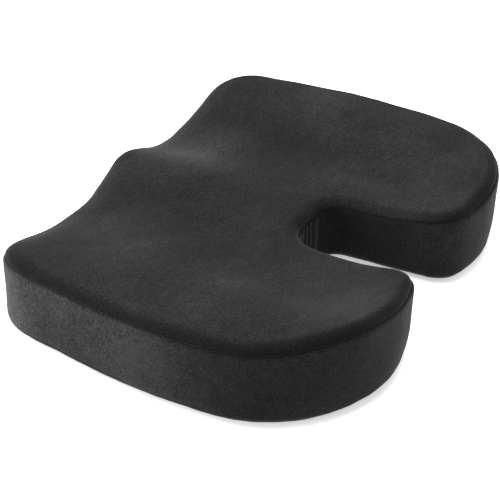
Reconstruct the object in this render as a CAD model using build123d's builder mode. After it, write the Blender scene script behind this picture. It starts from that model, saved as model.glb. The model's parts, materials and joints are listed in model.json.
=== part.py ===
"""Contoured coccyx seat cushion: a moulded foam core in a sewn and zipped cloth cover.

Millimetres, +Z up, +Y towards the sitter's knees. The origin is on the surface that the
cushion rests on, under the middle of its footprint.
"""

import os
from math import exp, sqrt

from build123d import *

os.makedirs("parts", exist_ok=True)

# ------------------------------------------------------------------ plan outline
# Corners of the right half before they are rounded, from the front centre to the notch.
FRONT_Y = 169
FRONT_CORNER = (208.5, FRONT_Y)
SIDE_BEND = (230.5, 1)
BACK_CORNER = (211, -196)
NOTCH_MOUTH = (43, -161.5)
NOTCH_HEAD = (36, -38)
OUTLINE_RADII = [56, 530, 122, 32, 24]

# ------------------------------------------------------------------ seat shape
SEAT_LEVEL = 63.5  # the dish in the middle of the seat
SIDE_RISE, SIDE_FROM, SIDE_TO = 15, 51, 224
BACK_RISE, BACK_FROM, BACK_LENGTH = 20.5, -72, 108
TROUGH_DEPTH, TROUGH_BACK, TROUGH_FRONT = 6.5, 28, 168
TROUGH_CENTRE, TROUGH_HALF = 105, 78  # across the seat
TROUGH_START = 20  # the middle of the seat, this far each way, is left out of the troughs
FALL, FALL_REACH = 11.3, 32  # the troughs fall away towards the front edge
HUMP_RISE, HUMP_SPREAD = 9.5, 40
HUMP_BACK, HUMP_FRONT = 12, 122
SURFACE_STEP = 14  # spacing of the points that the seat surface passes through
EDGE_ROLL = 12  # rounding of the top edge
BASE_ROLL = 12  # rounding of the bottom edge
BLOCK = 120  # taller than any part of the cushion

# ------------------------------------------------------------------ cover
CLOTH = 1.2
FOAM_GAP = 0.3  # slack between the cloth and the foam
TOP_SEAM_DROP = 9  # the top seam lies this far below the seat, on the rolled edge
BASE_SEAM_Z = 4.5  # the base seam, on the rolled bottom edge

# ------------------------------------------------------------------ grip dots
DOT_HEIGHT = 0.6
DOT_RADIUS, DOT_TIP_RADIUS = 2.5, 2.0
DOT_PITCH = 20
DOT_MARGIN = 17  # from the outline to the centres of the outermost dots

# ------------------------------------------------------------------ zip in the front band
ZIP_Z = 24  # height of its centre line
ZIP_HALF = 142  # half the length of the opening
ZIP_GAP = 5.5  # from the centre line to each folded cloth edge
TAPE_HALF = 144
TAPE_WIDTH, TAPE_THICKNESS = 8, 0.6
TAPE_Y = FRONT_Y - CLOTH - TAPE_THICKNESS / 2  # middle of the tapes' thickness
TOOTH_PITCH, TOOTH_WIDTH, TOOTH_DEPTH = 2.0, 0.9, 2.2
TOOTH_ROOT = 2.6  # from the centre line to the tape's edge
TOOTH_REACH = 0.9  # how far a tooth passes the centre line
TOOTH_COUNT = 132
TEETH_START = -136
STOP_LENGTH = 2.4
TOP_STOP_X, TOP_STOP_CLEARANCE = 138.5, 0.3
BOTTOM_STOP_X = TEETH_START - TOOTH_WIDTH - STOP_LENGTH / 2
RELIEF_DEPTH = 3.0  # hollow that the foam takes behind the zip
RELIEF_HALF_LENGTH, RELIEF_HALF_HEIGHT, RELIEF_CORNER = 144.8, 11, 0.5

# ------------------------------------------------------------------ slider and pull
SLIDER_X = 130  # its middle, with the zip closed
SLIDER_LENGTH, SLIDER_SHOULDER = 12, 3
SLIDER_TAIL_HALF_WIDTH, SLIDER_HALF_WIDTH, SLIDER_NOSE_HALF_WIDTH = 4.2, 4.8, 3.4
SLIDER_CORNERS = [1.2, 1.5, 1.0]
SLIDER_CHANNEL = 2.6  # clear depth between its two plates
SLIDER_PLATE = 1.2
FLANGE_WIDTH, FLANGE_DEPTH = 0.8, 0.8
WEDGE_X, WEDGE_LENGTH, WEDGE_WIDTH = 3.6, 3.6, 2.4
BRIDGE_LENGTH, BRIDGE_WIDTH, BRIDGE_HEIGHT, BRIDGE_BAR = 7.0, 2.0, 2.5, 0.8
PLATE_Y = TAPE_Y + SLIDER_CHANNEL / 2 + SLIDER_PLATE  # front face of the front plate
BACK_PLATE_Y = TAPE_Y - SLIDER_CHANNEL / 2  # front face of the back plate
PIVOT_Y = PLATE_Y + (BRIDGE_HEIGHT - BRIDGE_BAR) / 2
PIN_RADIUS = 0.5
PULL_THICKNESS = 1.0
PULL_LENGTH, PULL_BACK = 26, PIN_RADIUS  # from the pin's axis to its two ends
PULL_WIDTH, PULL_CORNER = 7.6, 1.4
PULL_WINDOW, PULL_WINDOW_WIDTH = 5.2, 3.0  # clears the bridge all the way round
PULL_SLOT_X, PULL_SLOT_LENGTH, PULL_SLOT_WIDTH = -18, 9, 2.6


def ease(value, start, end):
    """0 before start, 1 after end, and a step with smooth curvature between them."""
    t = min(max((value - start) / (end - start), 0), 1)
    return t**3 * (10 - 15 * t + 6 * t * t)


def seat_height(x, y):
    """Height of the seat: a dish with raised sides and back, thigh troughs and a hump."""
    side = SIDE_RISE * ease(abs(x), SIDE_FROM, SIDE_TO)
    back = BACK_RISE * (max(0, BACK_FROM - y) / BACK_LENGTH) ** 2
    fall = FALL * min(max(1 - (FRONT_Y - y) / FALL_REACH, 0), 1.3) ** 2
    trough = TROUGH_DEPTH * ease(y, TROUGH_BACK, TROUGH_FRONT) + fall
    trough *= exp(-(((abs(x) - TROUGH_CENTRE) / TROUGH_HALF) ** 4)) * ease(abs(x), 0, TROUGH_START)
    hump = HUMP_RISE * exp(-((x / HUMP_SPREAD) ** 2)) * ease(y, HUMP_BACK, HUMP_FRONT)
    return SEAT_LEVEL + side + back - trough + hump


def seat_surface(drop):
    """The seat as one smooth surface, wider than the outline and lowered by drop."""
    columns = [SURFACE_STEP * i for i in range(-17, 18)]
    rows = [SURFACE_STEP * j for j in range(-15, 16)]
    points = [[(x, y, seat_height(x, y) - drop) for x in columns] for y in rows]
    return Face.make_surface_from_array_of_points(points, min_deg=3, max_deg=3)


def plan(inset):
    """The plan outline as a face, drawn in by inset."""
    with BuildSketch() as face:
        with BuildLine():
            FilletPolyline(
                (0, FRONT_Y), FRONT_CORNER, SIDE_BEND, BACK_CORNER, NOTCH_MOUTH, NOTCH_HEAD,
                (0, NOTCH_HEAD[1]), radius=OUTLINE_RADII,
            )
            mirror(about=Plane.YZ)
        make_face()
        if inset:
            offset(amount=-inset)
    return face.sketch


def cushion_body(inset):
    """The whole rounded cushion above its dots, drawn in by inset on every side."""
    with BuildPart() as body:
        with BuildSketch(Plane.XY.offset(DOT_HEIGHT + inset)):
            add(plan(inset))
        extrude(amount=BLOCK)
        extrude(seat_surface(inset), amount=2 * BLOCK, dir=(0, 0, 1), mode=Mode.SUBTRACT)
        fillet(body.faces().sort_by(Axis.Z)[-1].edges(), EDGE_ROLL - inset)
        fillet(body.faces().sort_by(Axis.Z)[0].edges(), BASE_ROLL - inset)
    return body.part


def facing_front(y, x=0, z=0):
    """Plane across the front band at y: its axes are X and Z, and it extrudes backwards."""
    return Plane((x, y, z), x_dir=(1, 0, 0), z_dir=(0, -1, 0))


def front_window(half_length, low, high):
    """Block through the front band, half_length each way and from low to high."""
    block = Box(2 * half_length, 4 * CLOTH, high - low, mode=Mode.PRIVATE)
    return Pos(0, FRONT_Y, (low + high) / 2) * block


def save(builder, name):
    """Name a finished sub-part and write it."""
    builder.part.label = name
    export_step(builder.part, f"parts/{name}.step")


# ------------------------------------------------------------------ foam core
with BuildPart() as foam_core:
    add(cushion_body(CLOTH + FOAM_GAP))
    with BuildSketch(facing_front(FRONT_Y)):
        with Locations((0, ZIP_Z)):
            RectangleRounded(2 * RELIEF_HALF_LENGTH, 2 * RELIEF_HALF_HEIGHT, RELIEF_CORNER)
    extrude(amount=CLOTH + FOAM_GAP + RELIEF_DEPTH, mode=Mode.SUBTRACT)
save(foam_core, "foam_core")

# ------------------------------------------------------------------ cover cloth
with BuildPart() as cover:
    add(cushion_body(0))
    add(cushion_body(CLOTH), mode=Mode.SUBTRACT)

with BuildPart() as top_panel:
    add(cover.part)
    extrude(seat_surface(TOP_SEAM_DROP), amount=BLOCK, dir=(0, 0, 1), mode=Mode.INTERSECT)
save(top_panel, "top_panel")

with BuildPart() as bottom_panel:
    add(cover.part)
    split(bisect_by=Plane.XY.offset(BASE_SEAM_Z), keep=Keep.BOTTOM)
save(bottom_panel, "bottom_panel")

with BuildPart() as band:
    add(cover.part)
    extrude(seat_surface(TOP_SEAM_DROP), amount=BLOCK, dir=(0, 0, -1), mode=Mode.INTERSECT)
    split(bisect_by=Plane.XY.offset(BASE_SEAM_Z), keep=Keep.TOP)

with BuildPart() as right_side_band:
    add(band.part)
    add(front_window(ZIP_HALF, 0, BLOCK), mode=Mode.SUBTRACT)
    split(bisect_by=Plane.YZ, keep=Keep.TOP)
save(right_side_band, "right_side_band")

with BuildPart() as left_side_band:
    add(mirror(right_side_band.part, about=Plane.YZ, mode=Mode.PRIVATE))
save(left_side_band, "left_side_band")

with BuildPart() as zip_strip_upper:
    add(band.part)
    add(front_window(ZIP_HALF, ZIP_Z + ZIP_GAP, BLOCK), mode=Mode.INTERSECT)
save(zip_strip_upper, "zip_strip_upper")

with BuildPart() as zip_strip_lower:
    add(band.part)
    add(front_window(ZIP_HALF, 0, ZIP_Z - ZIP_GAP), mode=Mode.INTERSECT)
save(zip_strip_lower, "zip_strip_lower")

# ------------------------------------------------------------------ rubber grip dots
dot_field = plan(DOT_MARGIN).face()
row_pitch = DOT_PITCH * sqrt(3) / 2
dot_places = [
    (DOT_PITCH * (i + 0.5 * (j % 2)), row_pitch * j, 0)
    for j in range(-10, 11)
    for i in range(-12, 13)
    if dot_field.is_inside((DOT_PITCH * (i + 0.5 * (j % 2)), row_pitch * j, 0))
]
with BuildPart() as grip_dots:
    with Locations(*dot_places):
        Cone(DOT_TIP_RADIUS, DOT_RADIUS, DOT_HEIGHT, align=(Align.CENTER, Align.CENTER, Align.MIN))
save(grip_dots, "grip_dots")

# ------------------------------------------------------------------ zip tapes and teeth
for row, side in (("upper", 1), ("lower", -1)):
    with BuildPart() as tape:
        with BuildSketch(facing_front(TAPE_Y + TAPE_THICKNESS / 2)):
            with Locations((0, ZIP_Z + side * (TOOTH_ROOT + TAPE_WIDTH / 2))):
                Rectangle(2 * TAPE_HALF, TAPE_WIDTH)
        extrude(amount=TAPE_THICKNESS)
    save(tape, f"zip_tape_{row}")

    # The lower row stands half a pitch along, so that the two rows interlock.
    start = TEETH_START if side > 0 else TEETH_START + TOOTH_PITCH / 2
    middle = ZIP_Z + side * (TOOTH_ROOT - TOOTH_REACH) / 2
    with BuildPart() as teeth:
        with BuildSketch(facing_front(TAPE_Y + TOOTH_DEPTH / 2)):
            with Locations(*[(start + TOOTH_PITCH * i, middle) for i in range(TOOTH_COUNT)]):
                RectangleRounded(TOOTH_WIDTH, TOOTH_ROOT + TOOTH_REACH, TOOTH_WIDTH / 3)
        extrude(amount=TOOTH_DEPTH)
    save(teeth, f"zip_teeth_{row}")

with BuildPart() as zip_top_stops:
    with BuildSketch(facing_front(TAPE_Y + TOOTH_DEPTH / 2)):
        for side in (1, -1):
            with Locations((TOP_STOP_X, ZIP_Z + side * (TOOTH_ROOT + TOP_STOP_CLEARANCE) / 2)):
                Rectangle(STOP_LENGTH, TOOTH_ROOT - TOP_STOP_CLEARANCE)
    extrude(amount=TOOTH_DEPTH)
save(zip_top_stops, "zip_top_stops")

with BuildPart() as zip_bottom_stop:
    with BuildSketch(facing_front(TAPE_Y + TOOTH_DEPTH / 2)):
        with Locations((BOTTOM_STOP_X, ZIP_Z)):
            Rectangle(STOP_LENGTH, 2 * TOOTH_ROOT)
    extrude(amount=TOOTH_DEPTH)
save(zip_bottom_stop, "zip_bottom_stop")

# ------------------------------------------------------------------ zip slider
# Everything on the slider is drawn on a plane through its middle.
with BuildSketch() as slider_outline:
    with BuildLine():
        FilletPolyline(
            (-SLIDER_LENGTH / 2, 0), (-SLIDER_LENGTH / 2, SLIDER_TAIL_HALF_WIDTH),
            (SLIDER_SHOULDER, SLIDER_HALF_WIDTH), (SLIDER_LENGTH / 2, SLIDER_NOSE_HALF_WIDTH),
            (SLIDER_LENGTH / 2, 0), radius=SLIDER_CORNERS,
        )
        mirror(about=Plane.XZ)
    make_face()

with BuildSketch() as flange_outline:
    add(slider_outline.sketch)
    offset(slider_outline.sketch, amount=-FLANGE_WIDTH, mode=Mode.SUBTRACT)
    Rectangle(2 * SLIDER_LENGTH, 2 * TOOTH_ROOT, mode=Mode.SUBTRACT)

with BuildPart() as zip_slider:
    front_plate = facing_front(PLATE_Y, SLIDER_X, ZIP_Z)
    back_plate = facing_front(BACK_PLATE_Y, SLIDER_X, ZIP_Z)
    with BuildSketch(front_plate, back_plate):
        add(slider_outline.sketch)
    extrude(amount=SLIDER_PLATE)
    fillet(zip_slider.faces().sort_by(Axis.Y)[-1].edges(), SLIDER_PLATE / 3)
    # The flanges close the sides of the channel down to the tape.
    with BuildSketch(facing_front(PLATE_Y - SLIDER_PLATE, SLIDER_X, ZIP_Z)):
        add(flange_outline.sketch)
    extrude(amount=FLANGE_DEPTH)
    with BuildSketch(back_plate):
        add(flange_outline.sketch)
    extrude(amount=-FLANGE_DEPTH)
    # The wedge at the nose parts the two rows of teeth and joins the plates.
    with BuildSketch(facing_front(PLATE_Y - SLIDER_PLATE, SLIDER_X + WEDGE_X, ZIP_Z)):
        RectangleRounded(WEDGE_LENGTH, WEDGE_WIDTH, WEDGE_WIDTH / 3)
    extrude(amount=SLIDER_CHANNEL)
    # The bridge that holds the pull.
    with BuildSketch(Plane((SLIDER_X, PLATE_Y, ZIP_Z - BRIDGE_WIDTH / 2))):
        with Locations((0, BRIDGE_HEIGHT / 2)):
            Rectangle(BRIDGE_LENGTH, BRIDGE_HEIGHT)
        with Locations((0, (BRIDGE_HEIGHT - BRIDGE_BAR) / 2)):
            Rectangle(BRIDGE_LENGTH - 2 * BRIDGE_BAR, BRIDGE_HEIGHT - BRIDGE_BAR, mode=Mode.SUBTRACT)
    extrude(amount=BRIDGE_WIDTH)
    crown = zip_slider.edges().filter_by(Axis.Z).group_by(Axis.Y)[-1]
    fillet(crown, BRIDGE_BAR)
save(zip_slider, "zip_slider")

# ------------------------------------------------------------------ zip pull
# It lies back along the closed teeth, and turns on a pin held under the slider's bridge.
with BuildPart() as zip_pull:
    with BuildSketch(facing_front(PIVOT_Y + PULL_THICKNESS / 2, SLIDER_X, ZIP_Z)):
        with Locations(((PULL_BACK - PULL_LENGTH) / 2, 0)):
            RectangleRounded(PULL_LENGTH + PULL_BACK, PULL_WIDTH, PULL_CORNER)
        with Locations((-(PULL_WINDOW - PIN_RADIUS) / 2, 0)):
            Rectangle(PULL_WINDOW + PIN_RADIUS, PULL_WINDOW_WIDTH, mode=Mode.SUBTRACT)
        with Locations((PULL_SLOT_X, 0)):
            SlotOverall(PULL_SLOT_LENGTH, PULL_SLOT_WIDTH, mode=Mode.SUBTRACT)
    extrude(amount=PULL_THICKNESS)
    with BuildSketch(Plane((SLIDER_X, PIVOT_Y, ZIP_Z - PULL_WINDOW_WIDTH / 2))):
        Circle(PIN_RADIUS)
    extrude(amount=PULL_WINDOW_WIDTH)
save(zip_pull, "zip_pull")
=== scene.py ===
import json
import math

import bpy
import numpy as np
from mathutils import Matrix, Vector, geometry, noise
from mathutils.bvhtree import BVHTree


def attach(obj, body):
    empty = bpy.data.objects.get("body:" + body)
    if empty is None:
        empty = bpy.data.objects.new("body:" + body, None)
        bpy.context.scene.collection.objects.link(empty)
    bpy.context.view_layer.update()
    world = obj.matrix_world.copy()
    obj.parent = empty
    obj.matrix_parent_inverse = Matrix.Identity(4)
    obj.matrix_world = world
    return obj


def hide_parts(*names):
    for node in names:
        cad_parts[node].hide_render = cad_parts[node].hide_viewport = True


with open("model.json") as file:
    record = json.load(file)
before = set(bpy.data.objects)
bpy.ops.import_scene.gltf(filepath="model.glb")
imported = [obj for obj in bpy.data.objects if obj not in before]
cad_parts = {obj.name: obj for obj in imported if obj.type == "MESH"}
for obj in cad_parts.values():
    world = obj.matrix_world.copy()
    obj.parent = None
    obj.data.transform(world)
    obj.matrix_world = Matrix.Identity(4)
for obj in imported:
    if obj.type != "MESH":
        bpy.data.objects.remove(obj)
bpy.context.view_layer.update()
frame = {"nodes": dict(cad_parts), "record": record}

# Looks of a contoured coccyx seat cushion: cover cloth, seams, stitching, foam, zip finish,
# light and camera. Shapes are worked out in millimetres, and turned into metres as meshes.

MM = 0.001

# ------------------------------------------------------------------ plan outline
# Right half, from the notch head's middle round the lobe and the side to the front centre.
FRONT_Y = 169
CORNERS = [
    (0, -38), (36, -38), (43, -161.5), (211, -196), (230.5, 1), (208.5, FRONT_Y), (0, FRONT_Y),
]
CORNER_RADII = [24, 32, 122, 530, 56]
ARC_STEPS = 48
STEP, FINE_STEP = 2.4, 0.7  # spacing of the columns, and beside an upright seam
NOTCH_FINE, ZIP_END_FINE = 14, 5  # how far the fine spacing reaches

# ------------------------------------------------------------------ seat shape
SEAT_LEVEL = 63.5
SIDE_RISE, SIDE_FROM, SIDE_TO = 15, 51, 224
BACK_RISE, BACK_FROM, BACK_LENGTH = 20.5, -72, 108
TROUGH_DEPTH, TROUGH_BACK, TROUGH_FRONT = 6.5, 28, 168
TROUGH_CENTRE, TROUGH_HALF, TROUGH_START = 105, 78, 20
FALL, FALL_REACH = 11.3, 32  # the troughs fall away towards the front edge
HUMP_RISE, HUMP_SPREAD = 9.5, 40
HUMP_BACK, HUMP_FRONT = 12, 122
FALL_LIMIT = 1.3  # the fall stops growing beyond the front edge
BASE_Z = 0.6
ROLL = 12  # rounding of the top and bottom edges
QUARTER = ROLL * math.pi / 2  # length of that rounding, round its curve
LOBE_EDGE, NOTCH_EDGE = 0.98, 0.85  # size of that rounding at the back and in the notch
LOBE_FADE = (0, 150)  # where the first fades in over -y, and the second over -|x| and -y
NOTCH_SIDE_FADE, NOTCH_START_FADE = (-75, -42), (20, 34)
CHAMFER = 0.45  # from 0, where the top edge is round, to 1, where it is a flat chamfer

# ------------------------------------------------------------------ cover
CLOTH = 1.2
TOP_SEAM, BASE_SEAM = 3.0, 9.95  # places along the two rounded edges, from their lower ends
ZIP_Z, ZIP_GAP, ZIP_HALF = 24, 5.5, 140.3
ZIP_STITCH = 7.5  # from the centre line to the stitching beside the zip
HEM_RINGS = (0, 0.5, 1.3)  # rings beside the zip opening's folded edges
HEM_TURN = (0.7, 0.2, 0)  # how far each one is turned in
SEAM_RINGS = (-5, -3.2, -2, -1.1, -0.5, 0, 0.5, 1.1, 2, 3.2, 5)
LOW_RINGS, LAST_LOW_RING = (0, 2.5), 17  # round the bottom edge, on each side of the base seam
ZIP_RINGS = (ZIP_Z - 3, ZIP_Z, ZIP_Z + 3)  # heights inside the zip opening
HIGH_RINGS = (10, 12, 14, 16.4)  # round the top edge, above the top seam
TOP_INSETS = (15, 18.5, 23)
BASE_INSETS = (24, 18, 14)
FILL_GRID = 4.0
FILL_GAP = 0.7  # least distance from a filled loop to its grid points, in grid steps
RISES = (0.15, 0.3, 0.45, 0.6, 0.75, 0.9)  # shares of the way from the zip to the rounded edge
RISE_TOP = 2.4  # how far below the rounded edge those shares end
FRONT_BAND_Y = 150  # the front band lies beyond this
FOAM_INSET = 5.0


def ease(value, start, end):
    """0 before start, 1 after end, and a step with smooth curvature between them."""
    t = np.clip((value - start) / (end - start), 0, 1)
    return t**3 * (10 - 15 * t + 6 * t * t)


def seat_height(x, y):
    """Height of the seat: a dish with raised sides and back, thigh troughs and a hump."""
    side = SIDE_RISE * ease(abs(x), SIDE_FROM, SIDE_TO)
    back = BACK_RISE * (np.maximum(0, BACK_FROM - y) / BACK_LENGTH) ** 2
    fall = np.clip(1 - (FRONT_Y - y) / FALL_REACH, 0, FALL_LIMIT) ** 2
    trough = TROUGH_DEPTH * ease(y, TROUGH_BACK, TROUGH_FRONT) + FALL * fall
    trough = trough * np.exp(-(((abs(x) - TROUGH_CENTRE) / TROUGH_HALF) ** 4))
    trough = trough * ease(abs(x), 0, TROUGH_START)
    hump = HUMP_RISE * np.exp(-((x / HUMP_SPREAD) ** 2)) * ease(y, HUMP_BACK, HUMP_FRONT)
    return SEAT_LEVEL + side + back - trough + hump


def rounded_path(corners, radii):
    """Points along a polyline whose inner corners are rounded to the given radii."""
    corners = [np.array(c, float) for c in corners]
    path = [corners[0]]
    for before, corner, after, radius in zip(corners, corners[1:], corners[2:], radii):
        arrive = (corner - before) / np.linalg.norm(corner - before)
        leave = (after - corner) / np.linalg.norm(after - corner)
        turn = math.atan2(arrive[0] * leave[1] - arrive[1] * leave[0], arrive @ leave)
        start = corner - arrive * radius * math.tan(abs(turn) / 2)
        spoke = -math.copysign(radius, turn) * np.array((-arrive[1], arrive[0]))
        for k in range(ARC_STEPS + 1):
            c, s = math.cos(turn * k / ARC_STEPS), math.sin(turn * k / ARC_STEPS)
            turned = np.array((c * spoke[0] - s * spoke[1], s * spoke[0] + c * spoke[1]))
            path.append(start - spoke + turned)
    path.append(corners[-1])
    return np.array(path)


def columns():
    """Places round the outline: points, inward normals, and the way round from the notch."""
    path = rounded_path(CORNERS, CORNER_RADII)
    along = np.concatenate(([0], np.cumsum(np.linalg.norm(np.diff(path, axis=0), axis=1))))
    half = along[-1]
    zip_end = half - ZIP_HALF
    stretches = [
        (0, NOTCH_FINE, FINE_STEP), (NOTCH_FINE, zip_end - ZIP_END_FINE, STEP),
        (zip_end - ZIP_END_FINE, zip_end, FINE_STEP), (zip_end, zip_end + ZIP_END_FINE, FINE_STEP),
        (zip_end + ZIP_END_FINE, half, STEP),
    ]
    way = [0.0]
    for start, end, step in stretches:
        count = max(1, round((end - start) / step))
        way += [start + (end - start) * (k + 1) / count for k in range(count)]
    way = np.array(way)
    right = np.stack([np.interp(way, along, path[:, 0]), np.interp(way, along, path[:, 1])], 1)
    left = right[-2:0:-1] * (-1, 1)
    points = np.concatenate((right, left))
    way = np.concatenate((way, 2 * half - way[-2:0:-1]))
    tangent = np.roll(points, -1, 0) - np.roll(points, 1, 0)
    tangent /= np.linalg.norm(tangent, axis=1)[:, None]
    return points, np.stack([-tangent[:, 1], tangent[:, 0]], 1), way, 2 * half


def rings(detailed=True):
    """Rings up the cover from the base to the seat, each as (kind, value)."""
    near = SEAM_RINGS if detailed else (0,)
    low = [*LOW_RINGS, *(BASE_SEAM + d for d in near), LAST_LOW_RING]
    hems = HEM_RINGS if detailed else (0,)
    wall = [ZIP_Z - ZIP_STITCH, *(ZIP_Z - ZIP_GAP - h for h in reversed(hems)), *ZIP_RINGS]
    wall += [*(ZIP_Z + ZIP_GAP + h for h in hems), ZIP_Z + ZIP_STITCH]
    high = [*(TOP_SEAM + d for d in near), *HIGH_RINGS, QUARTER]
    return (
        [("base", d) for d in BASE_INSETS] + [("low", v) for v in low]
        + [("wall", z) for z in wall] + [("rise", t) for t in RISES]
        + [("high", u) for u in high] + [("top", d) for d in TOP_INSETS]
    )


def edge_size(x, y):
    """How large the top edge's rounding is: less at the back, and least in the notch."""
    lobe = 1 - (1 - LOBE_EDGE) * ease(-y, *LOBE_FADE)
    in_notch = ease(-abs(x), *NOTCH_SIDE_FADE) * ease(-y, *NOTCH_START_FADE)
    notch = 1 - (1 - NOTCH_EDGE) * in_notch
    return np.minimum(lobe, notch)


def ring_place(kind, value, points, normals, inset):
    """One ring's points and outward directions, for a cover drawn in by inset.

    The value is an inset for base and top rings, a height for wall rings, a share of the way up
    for rise rings, and a length round the rounded edge for low and high rings.
    """
    out, up, depth = 0.0, 1.0, value + inset
    roll = (ROLL - inset) * edge_size(*points.T)
    base = BASE_Z + inset
    wall_top = seat_height(*points.T) - inset - roll
    if kind == "base":
        up, z = -1.0, base
    elif kind == "low":
        angle = value / ROLL
        out, up = math.sin(angle), -math.cos(angle)
        depth, z = inset + (ROLL - inset) * (1 - out), base + (ROLL - inset) * (1 + up)
    elif kind in ("wall", "rise") or value < 0:
        out, up, depth = 1.0, 0.0, inset
        last_wall = ZIP_Z + ZIP_STITCH
        rise = last_wall + value * (wall_top - RISE_TOP - last_wall)
        z = {"wall": value, "rise": rise}.get(kind, wall_top + value)
    elif kind == "high":
        angle = value / ROLL
        out, up = math.cos(angle), math.sin(angle)
        way_up = value / QUARTER
        depth = inset + roll * ((1 - out) * (1 - CHAMFER) + way_up * CHAMFER)
        depth = depth[:, None]
        drop = roll * ((1 - up) * (1 - CHAMFER) + (1 - way_up) * CHAMFER)
    place = points + normals * depth
    if kind == "top" or (kind == "high" and value >= 0):
        z = seat_height(*place.T) - inset - (drop if kind == "high" else 0)
    z = np.broadcast_to(z, len(points))
    return np.column_stack((place, z)), np.column_stack((-normals * out, np.full(len(points), up)))


def fill(loop, height):
    """Triangles over a closed loop of 3-D points, with grid points at height(x, y) inside."""
    flat = loop[:, :2]
    low, high = flat.min(0), flat.max(0)
    row = FILL_GRID * math.sqrt(3) / 2
    grid = np.array([
        (low[0] + FILL_GRID * (i + 0.5 * (j % 2)), low[1] + row * j)
        for j in range(int((high[1] - low[1]) / row) + 1)
        for i in range(int((high[0] - low[0]) / FILL_GRID) + 1)
    ])
    inside = np.zeros(len(grid), bool)
    apart = np.full(len(grid), np.inf)
    for p, q in zip(flat, np.roll(flat, -1, 0)):
        crosses = (p[1] > grid[:, 1]) != (q[1] > grid[:, 1])
        with np.errstate(divide="ignore", invalid="ignore"):
            at = p[0] + (grid[:, 1] - p[1]) / (q[1] - p[1]) * (q[0] - p[0])
        inside ^= crosses & (grid[:, 0] < at)
        apart = np.minimum(apart, np.hypot(*(grid - (p + q) / 2).T))
    grid = grid[inside & (apart > FILL_GAP * FILL_GRID)]
    corners = [Vector(p) for p in np.concatenate((flat, grid))]
    edges = [(i, (i + 1) % len(flat)) for i in range(len(flat))]
    _, _, faces, origin, _, _ = geometry.delaunay_2d_cdt(corners, edges, [], 1, 1e-4)
    names = [o[0] for o in origin]
    inner = np.column_stack((grid, height(*grid.T)))
    return inner, [[names[i] for i in face] for face in faces]


def cover_form(inset=0.0, detailed=True):
    """The whole closed cover: its points, outward directions, faces, and each face's ring.

    The ring is -1 for the base's middle, and the number of rings for the seat's middle.
    """
    points, normals, way, total = columns()
    kinds = rings(detailed)
    placed = [ring_place(kind, value, points, normals, inset) for kind, value in kinds]
    grid = np.array([p for p, _ in placed])
    outward = np.array([o for _, o in placed])
    count = len(points)
    verts, directions = [grid.reshape(-1, 3)], [outward.reshape(-1, 3)]
    faces, ring_of = [], []
    for r in range(len(kinds) - 1):
        for i in range(count):
            j = (i + 1) % count
            faces.append((r * count + i, r * count + j, (r + 1) * count + j, (r + 1) * count + i))
            ring_of.append(r)
    for loop_ring, height, way_up in (
        (len(kinds) - 1, lambda x, y: seat_height(x, y) - inset, 1),
        (0, lambda x, y: np.full(len(x), BASE_Z + inset), -1),
    ):
        inner, triangles = fill(grid[loop_ring], height)
        offset = sum(len(v) for v in verts) - count
        for t in triangles:
            t = [loop_ring * count + k if k < count else offset + k for k in t]
            faces.append(tuple(t if way_up > 0 else reversed(t)))
            ring_of.append(len(kinds) if way_up > 0 else -1)
        verts.append(inner)
        directions.append(np.tile((0.0, 0.0, float(way_up)), (len(inner), 1)))
    return {
        "verts": np.concatenate(verts), "out": np.concatenate(directions), "faces": faces,
        "ring_of": ring_of, "kinds": kinds, "count": count, "grid": grid, "way": way,
        "total": total, "normals": normals,
    }


def new_mesh(name, verts, faces):
    """A smooth-shaded mesh object from points in millimetres."""
    mesh = bpy.data.meshes.new(name)
    mesh.from_pydata((np.asarray(verts) * MM).tolist(), [], faces)
    mesh.validate()
    mesh.polygons.foreach_set("use_smooth", [True] * len(mesh.polygons))
    piece = bpy.data.objects.new(name, mesh)
    bpy.context.scene.collection.objects.link(piece)
    return piece


# ------------------------------------------------------------------ swell of the cover
SWELL_VOXEL, SWELL_CAP, SWELL_FRAMES = 5.0, 5.0, 20
SWELL_PRESSURE = 16.0
ZIP_SWELL = 0.15  # the zip holds the front band back
ZIP_SWELL_Y, ZIP_SWELL_SIDE = (120, 160), 25  # where that share fades in
SWELL_BLEND = 0.5  # added to distances, so that a point's nearest neighbours share its weight
HELD_NEAR_SEAM, HELD_NEAR_BASE = 4.0, 5.0
EDGE_SWELL, SEAT_SWELL = 0.3, 0.1  # shares taken beside the seat's rim and in its dish
RIM_SWELL, SEAT_GAP = 30.0, 1  # the first share's reach, and where the seat starts above the seam


def seam_gap(co):
    """Height above the top seam's level, for points in millimetres."""
    seam_drop = ROLL * (1 - math.sin(TOP_SEAM / ROLL)) * edge_size(co[:, 0], co[:, 1])
    return co[:, 2] - (seat_height(co[:, 0], co[:, 1]) - seam_drop)


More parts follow.
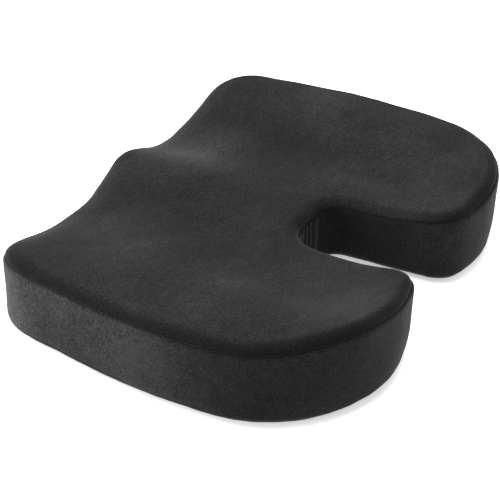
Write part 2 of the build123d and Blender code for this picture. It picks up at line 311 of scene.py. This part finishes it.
def swell(form):
    """Cloth simulation of the cover held at its seams and blown out by the foam in it.

    Returns a function from points to their movement, in millimetres.
    """
    piece = new_mesh("swell", form["verts"], form["faces"])
    bpy.context.view_layer.objects.active = piece
    remesh = piece.modifiers.new("even", "REMESH")
    remesh.mode, remesh.voxel_size = "VOXEL", SWELL_VOXEL * MM
    bpy.ops.object.modifier_apply(modifier="even")
    rest = np.array([v.co for v in piece.data.vertices]) / MM
    top_seam = np.abs(seam_gap(rest)) < HELD_NEAR_SEAM
    base_seam = rest[:, 2] < BASE_Z + HELD_NEAR_BASE
    held = piece.vertex_groups.new(name="held")
    held.add(np.nonzero(top_seam | base_seam)[0].tolist(), 1.0, "REPLACE")
    cloth = piece.modifiers.new("cloth", "CLOTH")
    cloth.settings.quality = 5
    cloth.settings.mass = 0.3
    cloth.settings.use_pressure = True
    cloth.settings.uniform_pressure_force = SWELL_PRESSURE
    cloth.settings.vertex_group_mass = "held"
    cloth.settings.effector_weights.gravity = 0
    cloth.collision_settings.use_collision = False
    scene = bpy.context.scene
    for step in range(1, SWELL_FRAMES + 1):
        scene.frame_set(step)
    seen = piece.evaluated_get(bpy.context.evaluated_depsgraph_get()).data
    moved = np.array([v.co for v in seen.vertices]) / MM - rest
    scene.frame_set(1)
    size = np.linalg.norm(moved, axis=1)
    moved *= np.minimum(1, SWELL_CAP / np.maximum(size, 1e-6))[:, None]
    corners = [list(p.vertices) for p in piece.data.polygons]
    tree = BVHTree.FromPolygons(rest.tolist(), corners)
    print("swell", round(float(size.max()), 2), "mm before the cap, over", len(rest), "points")
    bpy.data.objects.remove(piece)

    def movement(points):
        out = np.zeros((len(points), 3))
        for k, p in enumerate(points.tolist()):
            face = corners[tree.find_nearest(p)[2]]
            apart = np.linalg.norm(rest[face] - p, axis=1) + SWELL_BLEND
            out[k] = (moved[face] / apart[:, None] ** 2).sum(0) / (1 / apart**2).sum()
        return out

    return movement


# ------------------------------------------------------------------ seams, folds and lumps
TOP_GROOVE, TOP_GROOVE_WIDTH = 2.0, 1.5
BASE_GROOVE, BASE_GROOVE_WIDTH = 1.6, 1.5
GROOVE_UNEVEN = 0.25
PUCKER, PUCKER_REACH, PUCKER_END = 0.45, 2.5, 30
PUCKER_WAVES = (9.0, 17.0, 31.0)  # lengths along the seam
WAVE_GAIN = 1.6
LUMP, LUMP_SIZE, LUMP_FULL_Z = 0.9, 55.0, 14  # lumps fade in from the base to that height
LUMP_FRACTAL = (0.8, 2.0, 2)  # increment, lacunarity and octaves
TUCK, TUCK_FROM, TUCK_HEIGHT, TUCK_OUT_OF_NOTCH = 1.6, (70, 160), (2, 34), (80, 150)
FOLDS_FROM_BASE, FOLDS_FROM_TOP = (0, 6), (0, 5)  # where the band's folds fade in
NOTCH_SEAM_DEPTH, NOTCH_SEAM_WIDTH = 1.6, 1.2
NOTCH_SEAM_LOW, NOTCH_SEAM_HIGH = (-4, 2), (-3, 2)  # where the seam in the notch fades in
CREASE, CREASE_UP, CREASE_WIDTH = 0.9, 5.0, 1.4
CREASE_SIDE, CREASE_BACK, CREASE_FRONT = (150, 200), (-90, -50), (-150, -110)
WRINKLES = ((-574, 0.9, 0.9), (-562, 0.9, 0.7), (-587, 0.7, 0.6))  # place, slant, depth
WRINKLE_Z, WRINKLE_REACH, WRINKLE_WIDTH = 34, 12, 2.4
NOTCH_FOLDS = ((6.5, 1.0, 2.2), (13.0, -0.8, 3.0), (-9.0, 0.9, 2.5))  # place, depth, width


def waves(along, lengths, seed):
    """Uneven waves along a seam, from about -1 to 1."""
    total = sum(noise.noise(Vector((along / length, seed + 3.1 * k, 0.5)))
                for k, length in enumerate(lengths))
    return total / len(lengths) * WAVE_GAIN


def creased(x, y):
    """1 where the left band is creased above its base seam, and 0 elsewhere."""
    return ease(-x, *CREASE_SIDE) * ease(y, *CREASE_BACK) * ease(-y, *CREASE_FRONT)


def seam_distances(form):
    """How far each ring point is up the side from the top seam and from the base seam, and the
    way round from the notch, which is negative on the left half."""
    kinds, way, total = form["kinds"], form["way"], form["total"]
    step = np.linalg.norm(np.diff(form["grid"], axis=0), axis=2)
    up_the_side = np.concatenate((np.zeros((1, form["count"])), np.cumsum(step, axis=0)))
    from_top = up_the_side - up_the_side[kinds.index(("high", TOP_SEAM))]
    from_base = up_the_side - up_the_side[kinds.index(("low", BASE_SEAM))]
    return from_top, from_base, np.where(way > total / 2, way - total, way)


def dress(form, movement):
    """Moves the cover's points outwards and inwards to its sewn and filled shape."""
    count, grid, kinds = form["count"], form["grid"], form["kinds"]
    on_rings = len(kinds) * count
    from_top, from_base, way = seam_distances(form)
    pull = np.zeros((len(kinds), count))
    tight_top = np.array([1 + GROOVE_UNEVEN * waves(w, PUCKER_WAVES, 11.0) for w in way])
    pull -= TOP_GROOVE * tight_top * np.exp(-np.abs(from_top) / TOP_GROOVE_WIDTH)
    pull -= BASE_GROOVE * np.exp(-np.abs(from_base) / BASE_GROOVE_WIDTH)
    for distance, seed in ((from_top, 21.0), (from_base, 41.0)):
        for side in (-1, 1):
            ripple = np.array([waves(w, PUCKER_WAVES, seed + side) for w in way])
            apart = distance * side
            reach = np.where(apart > 0, apart, 0) / PUCKER_REACH
            pull += PUCKER * ripple * reach * np.exp(1 - reach) * (apart < PUCKER_END)
    # The band is joined in the notch, and creases where it turns tightly.
    band = ease(from_base, *FOLDS_FROM_BASE) * ease(-from_top, *FOLDS_FROM_TOP)
    joined = ease(from_base, *NOTCH_SEAM_LOW) * ease(-from_top, *NOTCH_SEAM_HIGH)
    pull -= NOTCH_SEAM_DEPTH * np.exp(-np.abs(way) / NOTCH_SEAM_WIDTH) * joined
    for place, depth, width in NOTCH_FOLDS:
        pull -= depth * np.exp(-(((way - place) / width) ** 2)) * band
    # A crease runs along the left band, and slanting wrinkles lie under its front corner.
    x, y, z = grid[:, :, 0], grid[:, :, 1], grid[:, :, 2]
    pull -= CREASE * np.exp(-np.abs(from_base - CREASE_UP) / CREASE_WIDTH) * creased(x, y)
    for place, slant, depth in WRINKLES:
        across = way - place - slant * (z - WRINKLE_Z)
        reach = np.exp(-(((z - WRINKLE_Z) / WRINKLE_REACH) ** 2))
        pull -= depth * np.exp(-((across / WRINKLE_WIDTH) ** 2)) * reach * band
    verts = form["verts"].copy()
    # The lobes draw in towards the base at the back.
    tuck = TUCK * ease(-y, *TUCK_FROM) * (1 - ease(z, *TUCK_HEIGHT))
    inner = np.array([1 - (v / BASE_INSETS[0] if k == "base" else 0) for k, v in kinds])
    tuck = tuck * inner[:, None] * ease(np.abs(way), *TUCK_OUT_OF_NOTCH)
    verts[:on_rings, :2] += (tuck[:, :, None] * form["normals"][None]).reshape(-1, 2)
    amount = np.zeros(len(verts))
    amount[:on_rings] = pull.reshape(-1)
    lumps = np.array([noise.fractal(Vector(v) / LUMP_SIZE, *LUMP_FRACTAL) for v in verts.tolist()])
    amount += LUMP * lumps * ease(verts[:, 2], BASE_Z, LUMP_FULL_Z)
    if movement:
        moved = movement(verts)
        # The band takes all of the swell, the seat less the further in from its rim, and the
        # front band by the zip little.
        gap = seam_gap(verts)
        share = np.ones(len(verts))
        rim = grid[kinds.index(("high", TOP_SEAM))][:, :2]
        for k in np.nonzero(gap > SEAT_GAP)[0]:
            apart = np.hypot(*(rim - verts[k, :2]).T).min()
            at_rim = math.exp(-((apart / RIM_SWELL) ** 2))
            share[k] = SEAT_SWELL + (EDGE_SWELL - SEAT_SWELL) * at_rim
        by_zip = ease(-np.abs(verts[:, 0]), -ZIP_HALF - ZIP_SWELL_SIDE, -ZIP_HALF)
        front = ease(verts[:, 1], *ZIP_SWELL_Y) * by_zip
        share *= 1 - (1 - ZIP_SWELL) * front * (gap < 0)
        verts += moved * share[:, None]
    verts += form["out"] * amount[:, None]
    # The zip opening's folded edges turn in.
    for r, (kind, value) in enumerate(kinds):
        for ring, turn in zip(HEM_RINGS, HEM_TURN):
            if kind == "wall" and abs(abs(value - ZIP_Z) - ZIP_GAP - ring) < 1e-6:
                row = slice(r * count, (r + 1) * count)
                here = (np.abs(verts[row, 0]) < ZIP_HALF) & (verts[row, 1] > FRONT_BAND_Y)
                verts[row, 1] -= np.where(here, turn, 0)
    return verts


# ------------------------------------------------------------------ painted shade and light on the cover
# Painted shade over the rounded top edge above the top seam: how dark, and where it starts and
# fades.
ROLL_SHADE, ROLL_START, ROLL_FADE = 0.3, 5, 19.0
ROLL_UNEVEN, ROLL_WAVE = 0.3, 40  # how unevenly the roll's shade ends, and over what length
# A painted highlight on the band just below the top seam: how light, and how far down it fades.
BELOW_SEAM_LIGHT, BELOW_SEAM_LIGHT_WIDTH = 1.2, 7.0
# Patches of the seat with painted shade or a painted highlight: (x, y, reach) and how much.
PATCHES = (
    ((5, 20, 44), 0.7), ((-45, 122, 38), 0.62), ((46, 104, 28), 1.75), ((-60, -120, 50), 0.85),
)
PATCHES_ABOVE = 45  # they paint no shade or highlight lower than this
# Painted shade along the top and base seams' grooves and along the band's crease.
SEAM_SHADE, SEAM_SHADE_WIDTH = 0.1, 1.3
BASE_SEAM_SHARE, CREASE_DARK = 0.6, 0.35  # the base seam's share of that, and the crease's own
# Painted shade on the band inside the notch, and where it fades out.
NOTCH_SHADE, NOTCH_FADE = 0.42, (88, 150)
NOTCH_ROLL = 0.6  # the painted shade on the notch's rounded edge is that much weaker
# Painted light on the band: a little darker overall, and lighter most towards the left front
# corner and on the right lobe.
BAND_SHADE, BAND_END_SHADE, LOBE_SHADE = 0.9, 2.5, 2.3
BAND_END_Y, BAND_END_SIDE = (-120, 170), (-60, 60)
LOBE_SIDE, LOBE_Y = (110, 200), (-60, 30)


def painted_shade_and_light(form):
    """Painted shade and light at each point, which the velour's colour is multiplied by: darker
    over the rounded top edge, along the seams and crease and in the notch, lighter below the top
    seam, on parts of the band and in patches of the seat.
    """
    grid = form["grid"]
    above, from_base, way = seam_distances(form)
    out_of_notch = ease(np.abs(way), *NOTCH_FADE)
    x, y = grid[:, :, 0], grid[:, :, 1]
    uneven = np.array([noise.noise(Vector((w / ROLL_WAVE, 5.5, 0.5))) for w in form["way"]])
    size = edge_size(x[0], y[0])
    fade = ROLL_FADE * (1 + ROLL_UNEVEN * uneven) * size
    # Painted shade over the rounded top edge, weaker in the notch.
    roll = (1 - ROLL_SHADE) * np.where(above > 0, 1 - ease(above, ROLL_START * size, fade), 0)
    roll = roll * (1 - NOTCH_ROLL * (1 - out_of_notch))
    # Painted highlight on the band just below the top seam.
    light_below_seam = (BELOW_SEAM_LIGHT - 1) * np.where(above < 0, np.exp(above / BELOW_SEAM_LIGHT_WIDTH), 0)
    # Painted shade in the seams' grooves and the crease.
    seam = (1 - SEAM_SHADE) * np.exp(-np.abs(above) / SEAM_SHADE_WIDTH)
    base_seam = np.exp(-np.abs(from_base) / SEAM_SHADE_WIDTH)
    crease = np.exp(-np.abs(from_base - CREASE_UP) / CREASE_WIDTH) * creased(x, y)
    base = (1 - SEAM_SHADE) * BASE_SEAM_SHARE * base_seam + CREASE_DARK * crease
    # Painted shade on the band in the notch.
    notch = (1 - NOTCH_SHADE) * (1 - out_of_notch) * (above < 0)
    shade = (1 - roll) * (1 + light_below_seam * out_of_notch) * (1 - seam) * (1 - base) * (1 - notch)
    # Painted light on the band below the top seam, out of the notch.
    to_corner = ease(y, *BAND_END_Y) * ease(-x, *BAND_END_SIDE)
    painted_band_light = BAND_SHADE + (BAND_END_SHADE - BAND_SHADE) * to_corner
    painted_band_light = painted_band_light + (LOBE_SHADE - 1) * ease(x, *LOBE_SIDE) * (1 - ease(y, *LOBE_Y))
    painted_band_light = 1 + (painted_band_light - 1) * (above < 0) * out_of_notch
    full = np.ones(len(form["verts"]))
    full[: x.size] = (shade * painted_band_light).reshape(-1)
    x, y, z = form["verts"].T
    # Painted shade and painted highlight in patches of the seat.
    for (at_x, at_y, reach), shade_there in PATCHES:
        apart = ((x - at_x) ** 2 + (y - at_y) ** 2) / reach**2
        full *= np.where(z > PATCHES_ABOVE, 1 + (shade_there - 1) * np.exp(-apart), 1)
    return full


def panel_of(form, face, ring):
    """The cover piece that a face belongs to, or None inside the zip opening."""
    kinds = form["kinds"]
    if ring < kinds.index(("low", BASE_SEAM)):
        return "base_cloth"
    if ring >= kinds.index(("high", TOP_SEAM)):
        return "velour_seat"
    x, y = form["verts"][list(face)].mean(0)[:2]
    if abs(x) < ZIP_HALF and y > FRONT_BAND_Y:
        kind, value = kinds[ring]
        z = {"low": 0, "wall": value}.get(kind, math.inf)
        if z >= ZIP_Z + ZIP_GAP:
            return "velour_zip_upper"
        return "velour_zip_lower" if z < ZIP_Z - ZIP_GAP else None
    return "velour_right_band" if x > 0 else "velour_left_band"


def cover_pieces(form, verts, shade):
    """One thick piece of cloth for each panel."""
    sets = {}
    for face, ring in zip(form["faces"], form["ring_of"]):
        name = panel_of(form, face, ring)
        if name:
            sets.setdefault(name, []).append(face)
    pieces = {}
    for name, faces in sorted(sets.items()):
        used = sorted({k for face in faces for k in face})
        place = {k: n for n, k in enumerate(used)}
        piece = new_mesh(name, verts[used], [[place[k] for k in face] for face in faces])
        # Each point's painted shade and light, which the velour's colour is multiplied by.
        layer = piece.data.attributes.new("pile_grain_and_painted_shade", "FLOAT", "POINT")
        layer.data.foreach_set("value", shade[used].astype(np.float32))
        thick = piece.modifiers.new("cloth_thickness", "SOLIDIFY")
        thick.thickness, thick.offset = CLOTH * MM, -1
        thick.use_rim = True
        pieces[name] = piece
    return pieces


# For each cover piece, the CAD node that it replaces and its material slot.
REPLACED = {
    "base_cloth": ("bottom_panel", "grip_cloth"),
    "velour_seat": ("top_panel", "velour"),
    "velour_left_band": ("left_side_band", "velour"),
    "velour_right_band": ("right_side_band", "velour"),
    "velour_zip_upper": ("zip_strip_upper", "velour"),
    "velour_zip_lower": ("zip_strip_lower", "velour"),
}


# ------------------------------------------------------------------ materials
def material(name):
    """A new node material: (material, nodes, links, shader)."""
    made = bpy.data.materials.new(name)
    made.use_nodes = True
    tree = made.node_tree
    return made, tree.nodes, tree.links, tree.nodes["Principled BSDF"]


def noise_node(nodes, links, place, size, detail=3.0, rough=0.55, stretch=(1, 1, 1), twist=0.0):
    """Noise whose features are about size millimetres, drawn out along an axis by stretch."""
    mapping = nodes.new("ShaderNodeMapping")
    mapping.inputs["Scale"].default_value = [1 / (size * MM * s) for s in stretch]
    mapping.inputs["Rotation"].default_value = (0, 0, twist)
    links.new(place.outputs["Object"], mapping.inputs["Vector"])
    tex = nodes.new("ShaderNodeTexNoise")
    tex.inputs["Scale"].default_value = 1.0
    tex.inputs["Detail"].default_value = detail
    tex.inputs["Roughness"].default_value = rough
    links.new(mapping.outputs["Vector"], tex.inputs["Vector"])
    return tex.outputs["Fac"]


def ramp(nodes, links, source, stops):
    """Colour ramp over a factor: stops are (position, (r, g, b))."""
    made = nodes.new("ShaderNodeValToRGB")
    elements = made.color_ramp.elements
    while len(elements) < len(stops):
        elements.new(0.5)
    for element, (at, colour) in zip(elements, stops):
        element.position = at
        element.color = (*colour, 1)
    links.new(source, made.inputs["Fac"])
    return made.outputs["Color"]


def math_node(nodes, links, kind, a, b):
    """Math on two sockets or numbers."""
    made = nodes.new("ShaderNodeMath")
    made.operation = kind
    for socket, value in zip(made.inputs, (a, b)):
        if isinstance(value, (int, float)):
            socket.default_value = value
        else:
            links.new(value, socket)
    return made.outputs[0]


def bumps(nodes, links, shader, layers):
    """Stacks bump layers of (height, depth in millimetres) onto a shader."""
    before = None
    for height, depth in layers:
        bump = nodes.new("ShaderNodeBump")
        bump.inputs["Strength"].default_value = 1.0
        bump.inputs["Distance"].default_value = depth * MM
        links.new(height, bump.inputs["Height"])
        if before:
            links.new(before, bump.inputs["Normal"])
        before = bump.outputs["Normal"]
    links.new(before, shader.inputs["Normal"])


def velour():
    """Short brushed pile, nearly black, with a fine grain, soft brush marks and a sheen; its
    colour is multiplied by the painted shade and light stored on the mesh.
    """
    made, nodes, links, shader = material("velour")
    place = nodes.new("ShaderNodeTexCoord")
    cloud = noise_node(nodes, links, place, 85, 2, 0.4)
    brush = noise_node(nodes, links, place, 9, 4, 0.75, (1.8, 1, 1), 0.5)
    pile_grain_and_painted_shade = noise_node(nodes, links, place, 1.9, 3, 0.8)
    fibre = noise_node(nodes, links, place, 0.5, 2, 0.7)
    mix = math_node(nodes, links, "MULTIPLY", cloud, 0.28)
    for layer, share in ((brush, 0.16), (pile_grain_and_painted_shade, 0.56)):
        part = math_node(nodes, links, "MULTIPLY", layer, share)
        mix = math_node(nodes, links, "ADD", mix, part)
    grey = ramp(nodes, links, mix, (
        (0.40, (0.0024, 0.0024, 0.0025)), (0.5, (0.0074, 0.0074, 0.0075)),
        (0.60, (0.0175, 0.0175, 0.0176)),
    ))
    # The painted shade and light stored on the cover's mesh scale the colour.
    painted_shade_node = nodes.new("ShaderNodeAttribute")
    painted_shade_node.attribute_name = "pile_grain_and_painted_shade"
    scaled = nodes.new("ShaderNodeVectorMath")
    scaled.operation = "SCALE"
    links.new(grey, scaled.inputs[0])
    links.new(painted_shade_node.outputs["Fac"], scaled.inputs["Scale"])
    links.new(scaled.outputs["Vector"], shader.inputs["Base Color"])
    shader.inputs["Roughness"].default_value = 0.95
    shader.inputs["Specular IOR Level"].default_value = 0.15
    shader.inputs["Sheen Weight"].default_value = 0.08
    shader.inputs["Sheen Roughness"].default_value = 0.35
    shader.inputs["Sheen Tint"].default_value = (0.9, 0.9, 0.92, 1)
    bumps(nodes, links, shader, ((brush, 0.25), (pile_grain_and_painted_shade, 0.3), (fibre, 0.06)))
    return made


WAVE_BANDS = 3.3  # bands that Blender's wave texture puts in a unit at scale 1, near enough


def weave_height(nodes, links, place, pitch):
    """Height of a plain weave of threads along X and Y."""
    waves_of = []
    for axis in ("X", "Y"):
        wave = nodes.new("ShaderNodeTexWave")
        wave.bands_direction = axis
        wave.inputs["Scale"].default_value = 1 / (pitch * MM) / WAVE_BANDS
        wave.inputs["Distortion"].default_value = 0.4
        links.new(place.outputs["Object"], wave.inputs["Vector"])
        waves_of.append(wave.outputs["Fac"])
    return math_node(nodes, links, "MAXIMUM", *waves_of)


def woven(name, dark, light, pitch, rough=0.85):
    """Plain woven cloth with threads pitch millimetres apart."""
    made, nodes, links, shader = material(name)
    place = nodes.new("ShaderNodeTexCoord")
    weave = weave_height(nodes, links, place, pitch)
    worn = noise_node(nodes, links, place, 14, 3)
    mix = math_node(nodes, links, "MULTIPLY", weave, math_node(nodes, links, "ADD", worn, 0.3))
    links.new(ramp(nodes, links, mix, ((0.1, dark), (0.8, light))), shader.inputs["Base Color"])
    shader.inputs["Roughness"].default_value = rough
    bumps(nodes, links, shader, ((worn, 0.1), (weave, 0.12)))
    return made


def moulded(name, dark, light, rough, metallic=0.0, grain=0.6, depth=0.02):
    """Moulded or enamelled finish with fine grain and worn, lighter patches."""
    made, nodes, links, shader = material(name)
    place = nodes.new("ShaderNodeTexCoord")
    fine = noise_node(nodes, links, place, grain, 3)
    wear = noise_node(nodes, links, place, 5, 4, 0.7)
    links.new(ramp(nodes, links, wear, ((0.45, dark), (0.75, light))), shader.inputs["Base Color"])
    uneven = math_node(nodes, links, "MULTIPLY", wear, 0.2)
    links.new(math_node(nodes, links, "ADD", rough - 0.1, uneven), shader.inputs["Roughness"])
    shader.inputs["Metallic"].default_value = metallic
    bumps(nodes, links, shader, ((fine, depth),))
    return made


def foam():
    """Cream open-cell foam with fine pores."""
    made, nodes, links, shader = material("memory_foam")
    place = nodes.new("ShaderNodeTexCoord")
    pores = nodes.new("ShaderNodeTexVoronoi")
    pores.inputs["Scale"].default_value = 1 / (1.6 * MM)
    links.new(place.outputs["Object"], pores.inputs["Vector"])
    tone = noise_node(nodes, links, place, 30, 4)
    links.new(ramp(nodes, links, tone, ((0.3, (0.72, 0.66, 0.5)), (0.7, (0.86, 0.82, 0.68)))),
              shader.inputs["Base Color"])
    shader.inputs["Roughness"].default_value = 0.95
    bumps(nodes, links, shader, ((pores.outputs["Distance"], 0.4),))
    return made


# ------------------------------------------------------------------ stitching
THREAD = 0.45
STITCH, STITCH_STEP, STITCH_SIDES = 2.3, 3.1, 6
# Along a stitch: how far along, how thick, and how high above the cloth in thread widths.
STITCH_SHAPE = ((0, 0.35, -0.5), (0.12, 0.9, -0.05), (0.5, 1.0, 0.12), (0.88, 0.9, -0.05),
                (1, 0.35, -0.5))
TACK_HALF, TACK_STEP, TACK_STITCH = 6.5, 0.9, 0.7  # the bar tacks at the zip's two ends
TACK_BESIDE, TACK_LIFT = 1.5, 0.1


def stitch_row(name, places, normals, step=STITCH_STEP, length=STITCH):
    """A row of short thread stitches along points, each dipping into the cloth at its ends."""
    places, normals = np.asarray(places, float), np.asarray(normals, float)
    along = np.concatenate(([0], np.cumsum(np.linalg.norm(np.diff(places, axis=0), axis=1))))
    verts, faces = [], []
    at = step / 2
    while at < along[-1] - step / 2:
        start = [np.interp(at - length / 2, along, places[:, k]) for k in range(3)]
        end = [np.interp(at + length / 2, along, places[:, k]) for k in range(3)]
        up = np.array([np.interp(at, along, normals[:, k]) for k in range(3)])
        start, end = np.array(start), np.array(end)
        across = np.cross(end - start, up)
        across /= np.linalg.norm(across) or 1
        up /= np.linalg.norm(up) or 1
        first = len(verts)
        for t, girth, lift in STITCH_SHAPE:
            middle = start + (end - start) * t + up * lift * THREAD
            for s in range(STITCH_SIDES):
                turn = 2 * math.pi * s / STITCH_SIDES
                spoke = across * math.cos(turn) + up * math.sin(turn)
                verts.append(middle + spoke * THREAD / 2 * girth)
        for k in range(len(STITCH_SHAPE) - 1):
            for s in range(STITCH_SIDES):
                row = first + k * STITCH_SIDES
                a, b = row + s, row + (s + 1) % STITCH_SIDES
                faces.append((a, b, b + STITCH_SIDES, a + STITCH_SIDES))
        faces.append(tuple(first + s for s in reversed(range(STITCH_SIDES))))
        last = first + (len(STITCH_SHAPE) - 1) * STITCH_SIDES
        faces.append(tuple(last + s for s in range(STITCH_SIDES)))
        at += step
    return new_mesh(name, verts, faces)


def ring_points(form, ring):
    """Which of the cover's points lie on one ring, given as (kind, value)."""
    return form["kinds"].index(ring) * form["count"] + np.arange(form["count"])


# ------------------------------------------------------------------ building
form = cover_form()
movement = swell(cover_form(detailed=False))
verts = dress(form, movement)
pieces = cover_pieces(form, verts, painted_shade_and_light(form))
finishes = {
    "velour": velour(),
    "thread": woven("thread", (0.012, 0.012, 0.013), (0.03, 0.03, 0.031), 0.3, 0.7),
    "grip_cloth": woven("grip_cloth", (0.008, 0.008, 0.009), (0.03, 0.03, 0.032), 0.7),
}
for name, piece in pieces.items():
    node, slot = REPLACED[name]
    piece.data.materials.append(finishes[slot])
    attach(piece, "cushion")
    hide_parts(node)

foam_form = cover_form(FOAM_INSET, detailed=False)
foam_block = new_mesh("foam_block", foam_form["verts"], foam_form["faces"])
foam_block.data.materials.append(foam())
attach(foam_block, "cushion")
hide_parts("foam_core")

stitches = {}
for name, ring in (
    ("top_seam_thread", ("high", TOP_SEAM)), ("base_seam_thread", ("low", BASE_SEAM)),
):
    line = ring_points(form, ring)
    line = np.append(line, line[0])
    stitches[name] = stitch_row(name, verts[line], form["out"][line])
for name, height in (
    ("zip_thread_lower", ZIP_Z - ZIP_STITCH), ("zip_thread_upper", ZIP_Z + ZIP_STITCH),
):
    line = ring_points(form, ("wall", height))
    line = line[(np.abs(verts[line, 0]) < ZIP_HALF) & (verts[line, 1] > FRONT_BAND_Y)]
    line = line[np.argsort(verts[line, 0])]
    stitches[name] = stitch_row(name, verts[line], form["out"][line])
for name, side in (("bar_tack_left", -1), ("bar_tack_right", 1)):
    line = ring_points(form, ("wall", ZIP_Z))
    beside = np.abs(verts[line, 0] - side * (ZIP_HALF + TACK_BESIDE))
    middle = line[np.argmin(beside - verts[line, 1])]
    out = form["out"][middle]
    places = [verts[middle] + (0, 0, up) + out * TACK_LIFT
              for up in np.arange(-TACK_HALF, TACK_HALF, TACK_STEP)]
    stitches[name] = stitch_row(name, places, [out] * len(places), TACK_STEP, TACK_STITCH)
for name, thread in stitches.items():
    thread.data.materials.append(finishes["thread"])
    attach(thread, "cushion")

for node, finish in (
    ("grip_dots", moulded("grip_rubber", (0.035, 0.035, 0.036), (0.065, 0.065, 0.066), 0.6)),
    ("zip_tape_upper", woven("zip_tape", (0.008, 0.008, 0.009), (0.028, 0.028, 0.03), 0.5)),
    ("zip_teeth_upper", moulded("zip_teeth", (0.012, 0.012, 0.012), (0.03, 0.03, 0.03), 0.4)),
    ("zip_slider", moulded("zip_enamel", (0.015, 0.015, 0.016), (0.12, 0.12, 0.12), 0.35, 0.6)),
):
    slot_name = next(s["material_slot"] for s in frame["record"]["subparts"] if s["node"] == node)
    for other in frame["record"]["subparts"]:
        if other["material_slot"] == slot_name:
            mesh = frame["nodes"][other["node"]].data
            mesh.materials.clear()
            mesh.materials.append(finish)

# ------------------------------------------------------------------ floor, light and camera
FLOOR_HALF = 25.0
floor_mesh = bpy.data.meshes.new("floor")
floor_mesh.from_pydata(
    [(x * FLOOR_HALF, y * FLOOR_HALF, 0) for x, y in ((-1, -1), (1, -1), (1, 1), (-1, 1))],
    [], [(0, 1, 2, 3)])
floor = bpy.data.objects.new("floor", floor_mesh)
bpy.context.scene.collection.objects.link(floor)
floor_finish, _, _, floor_shader = material("floor")
floor_shader.inputs["Base Color"].default_value = (0.92, 0.92, 0.92, 1)
floor_shader.inputs["Roughness"].default_value = 0.9
floor_shader.inputs["Emission Color"].default_value = (1, 1, 1, 1)
floor_shader.inputs["Emission Strength"].default_value = 0.45
floor_mesh.materials.append(floor_finish)


def aim(thing, place, target, roll=0.0):
    """Puts an object at place, pointing at target."""
    place, target = Vector(place), Vector(target)
    turn = (target - place).to_track_quat("-Z", "Y").to_matrix().to_4x4()
    thing.matrix_world = Matrix.Translation(place) @ turn @ Matrix.Rotation(roll, 4, "Z")


def area_light(name, place, target, size, power):
    """A square soft light."""
    data = bpy.data.lights.new(name, "AREA")
    data.size, data.energy = size, power
    lamp = bpy.data.objects.new(name, data)
    bpy.context.scene.collection.objects.link(lamp)
    aim(lamp, place, target)


area_light("overhead", (0.2, 0.5, 2.3), (0, 0, 0), 2.4, 96)
area_light("back", (-0.7, 2.2, 1.0), (0, 0, 0.04), 1.2, 58)
area_light("left_fill", (-2.0, 1.1, 0.8), (0, 0, 0.03), 1.0, 22)
area_light("right_fill", (1.4, -1.9, 0.8), (0, 0, 0.03), 1.0, 14)

world = bpy.data.worlds.new("studio")
world.use_nodes = True
world.node_tree.nodes["Background"].inputs["Color"].default_value = (1, 1, 1, 1)
world.node_tree.nodes["Background"].inputs["Strength"].default_value = 0.5
bpy.context.scene.world = world
bpy.context.scene.view_settings.view_transform = "Standard"

AZIMUTH, ELEVATION, DISTANCE = math.radians(-62.181), math.radians(32.563), 1.2348
AIM_POINT = Vector((0, 0.024, 0.030))
ROLL_ANGLE = math.radians(1.467)
camera_data = bpy.data.cameras.new("camera")
camera = bpy.data.objects.new("camera", camera_data)
bpy.context.scene.collection.objects.link(camera)
backwards = Vector((
    math.sin(AZIMUTH) * math.cos(ELEVATION), -math.cos(AZIMUTH) * math.cos(ELEVATION),
    math.sin(ELEVATION)))
aim(camera, AIM_POINT + backwards * DISTANCE, AIM_POINT, ROLL_ANGLE)
camera_data.sensor_width = 36
camera_data.lens = 95.39
camera_data.shift_x, camera_data.shift_y = 0.0019, -0.0430
bpy.context.scene.camera = camera
